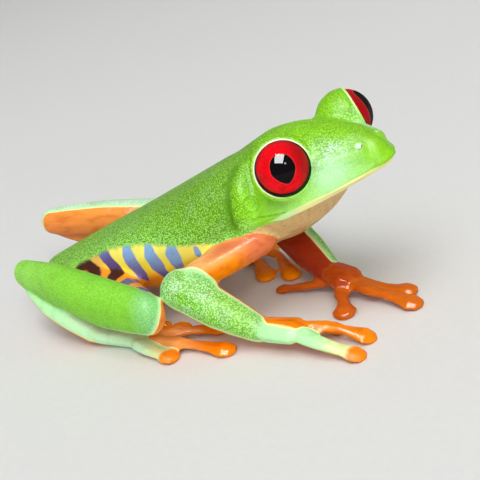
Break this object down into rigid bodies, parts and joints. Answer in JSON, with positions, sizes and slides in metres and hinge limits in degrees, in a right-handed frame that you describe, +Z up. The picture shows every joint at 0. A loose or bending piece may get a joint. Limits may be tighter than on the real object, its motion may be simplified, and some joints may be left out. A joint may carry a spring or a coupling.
{
  "type": "red-eyed tree frog",
  "caption": "Life-size still model of a red-eyed tree frog sitting with its head raised, lime green with barred flanks, orange feet and large red eyes.",
  "frame": {"origin": "On the floor, under the middle of the model's box.", "axes": "+X runs along the body towards the snout, +Y is the frog's left, +Z is up."},
  "size_m": [0.0672, 0.036, 0.0275],
  "materials": {
    "green_skin": "moist, finely granular",
    "throat_skin": "moist",
    "flank_skin": "moist",
    "orange_skin": "glossy, moist",
    "eye": "polished"
  },
  "bodies": {
    "root": {"eye_left": "eye", "eye_right": "eye", "finger_left_1": "orange_skin", "finger_left_2": "orange_skin", "finger_left_3": "orange_skin", "finger_left_4": "orange_skin", "finger_right_1": "orange_skin", "finger_right_2": "orange_skin", "finger_right_3": "orange_skin", "finger_right_4": "orange_skin", "foot_left": "orange_skin", "foot_right": "orange_skin", "forearm_left": "green_skin", "forearm_right": "green_skin", "hand_left": "orange_skin", "hand_right": "orange_skin", "head": "green_skin", "lower_jaw": "throat_skin", "shank_left": "green_skin", "shank_right": "green_skin", "tarsus_left": "green_skin", "tarsus_right": "green_skin", "thigh_left": "flank_skin", "thigh_right": "flank_skin", "toe_left_1": "orange_skin", "toe_left_2": "orange_skin", "toe_left_3": "orange_skin", "toe_left_4": "orange_skin", "toe_left_5": "orange_skin", "toe_right_1": "orange_skin", "toe_right_2": "orange_skin", "toe_right_3": "orange_skin", "toe_right_4": "orange_skin", "toe_right_5": "orange_skin", "trunk": "green_skin", "upper_arm_left": "orange_skin", "upper_arm_right": "orange_skin"}
  },
  "joints": []
}
